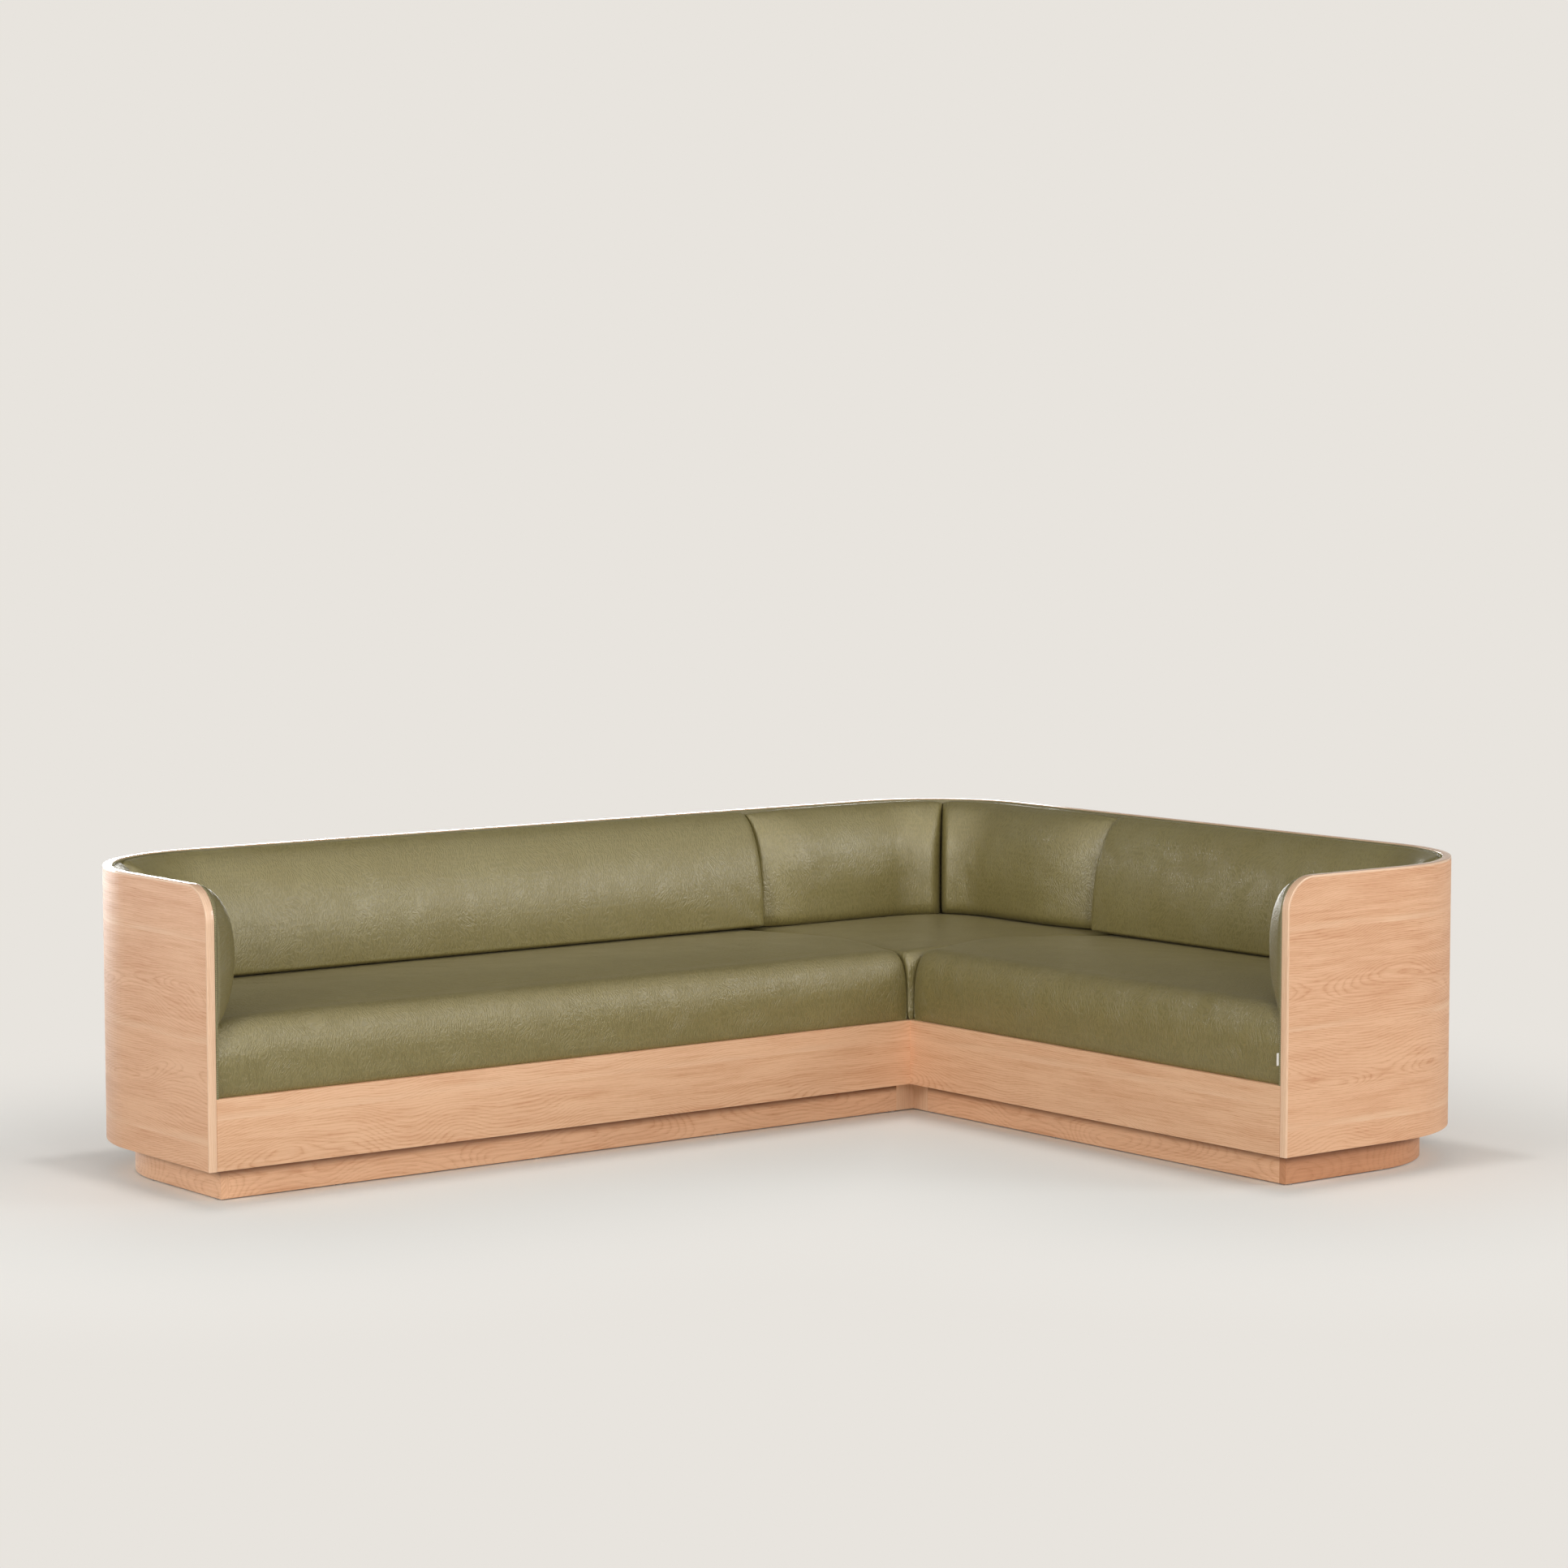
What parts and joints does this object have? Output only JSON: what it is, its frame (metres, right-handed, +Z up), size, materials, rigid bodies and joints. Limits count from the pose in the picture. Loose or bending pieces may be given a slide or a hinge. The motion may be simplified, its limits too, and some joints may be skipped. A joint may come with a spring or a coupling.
{
  "type": "corner sofa",
  "caption": "Corner sofa: a bent oak shell wraps two wings on a recessed plinth, with crowned leather seats, back cushions and arm pads.",
  "frame": {"origin": "on the floor, at the middle of the plan's bounding box", "axes": "+Z up; +X along the long wing from its arm to the corner; +Y to the long wing's back, so the short wing runs towards -Y at the +X end"},
  "size_m": [2.7, 2.04, 0.7],
  "materials": {
    "oak_veneer": "pale matt-lacquered oak veneer, grain lengthways",
    "oak_solid": "pale matt-lacquered solid oak band, grain along its length",
    "oak_plinth": "pale matt-lacquered oak, grain lengthways",
    "birch_plywood": "unfinished plywood",
    "liner_leather": "olive semi-aniline leather, fine pebbled grain",
    "seat_leather": "olive semi-aniline leather, fine pebbled grain",
    "back_leather": "olive semi-aniline leather, fine pebbled grain",
    "arm_leather": "olive semi-aniline leather, fine pebbled grain",
    "foam": "open-cell upholstery foam",
    "zinc_steel": "zinc-plated steel",
    "glide_plastic": "dark nylon",
    "webbing": "black elastic webbing",
    "tag_cloth": "plain white woven tape"
  },
  "bodies": {
    "root": {"left_arm_shell": "oak_veneer", "long_back_shell": "oak_veneer", "corner_shell": "oak_veneer", "short_back_shell": "oak_veneer", "right_arm_shell": "oak_veneer", "long_apron": "oak_veneer", "short_apron": "oak_veneer", "left_arm_edge_band": "oak_solid", "long_back_rim": "oak_solid", "corner_rim": "oak_solid", "short_back_rim": "oak_solid", "right_arm_edge_band": "oak_solid", "plinth_long_front": "oak_plinth", "plinth_short_front": "oak_plinth", "plinth_inner_post": "oak_plinth", "plinth_left_end": "oak_plinth", "plinth_right_end": "oak_plinth", "plinth_long_back": "oak_plinth", "plinth_short_back": "oak_plinth", "plinth_corner": "oak_plinth", "shell_splines": "birch_plywood", "plinth_cross_rails": "birch_plywood", "long_base_board": "birch_plywood", "corner_base_board": "birch_plywood", "short_base_board": "birch_plywood", "long_front_rail": "birch_plywood", "short_front_rail": "birch_plywood", "long_back_rail": "birch_plywood", "short_back_rail": "birch_plywood", "seat_ribs": "birch_plywood", "seat_decks": "birch_plywood", "left_arm_liner": "liner_leather", "long_back_liner": "liner_leather", "corner_liner": "liner_leather", "short_back_liner": "liner_leather", "right_arm_liner": "liner_leather", "long_seat_cushion": "seat_leather", "corner_seat_cushion": "seat_leather", "short_seat_cushion": "seat_leather", "long_back_cushion": "back_leather", "corner_left_back_cushion": "back_leather", "corner_right_back_cushion": "back_leather", "short_back_cushion": "back_leather", "left_arm_pad": "arm_leather", "right_arm_pad": "arm_leather", "long_seat_foam": "foam", "corner_seat_foam": "foam", "short_seat_foam": "foam", "long_back_foam": "foam", "corner_back_foams": "foam", "short_back_foam": "foam", "arm_pad_foams": "foam", "base_screws": "zinc_steel", "rail_brackets": "zinc_steel", "bracket_screws": "zinc_steel", "floor_glides": "glide_plastic", "wing_webbing": "webbing", "corner_webbing": "webbing", "seam_tag": "tag_cloth"}
  },
  "joints": []
}
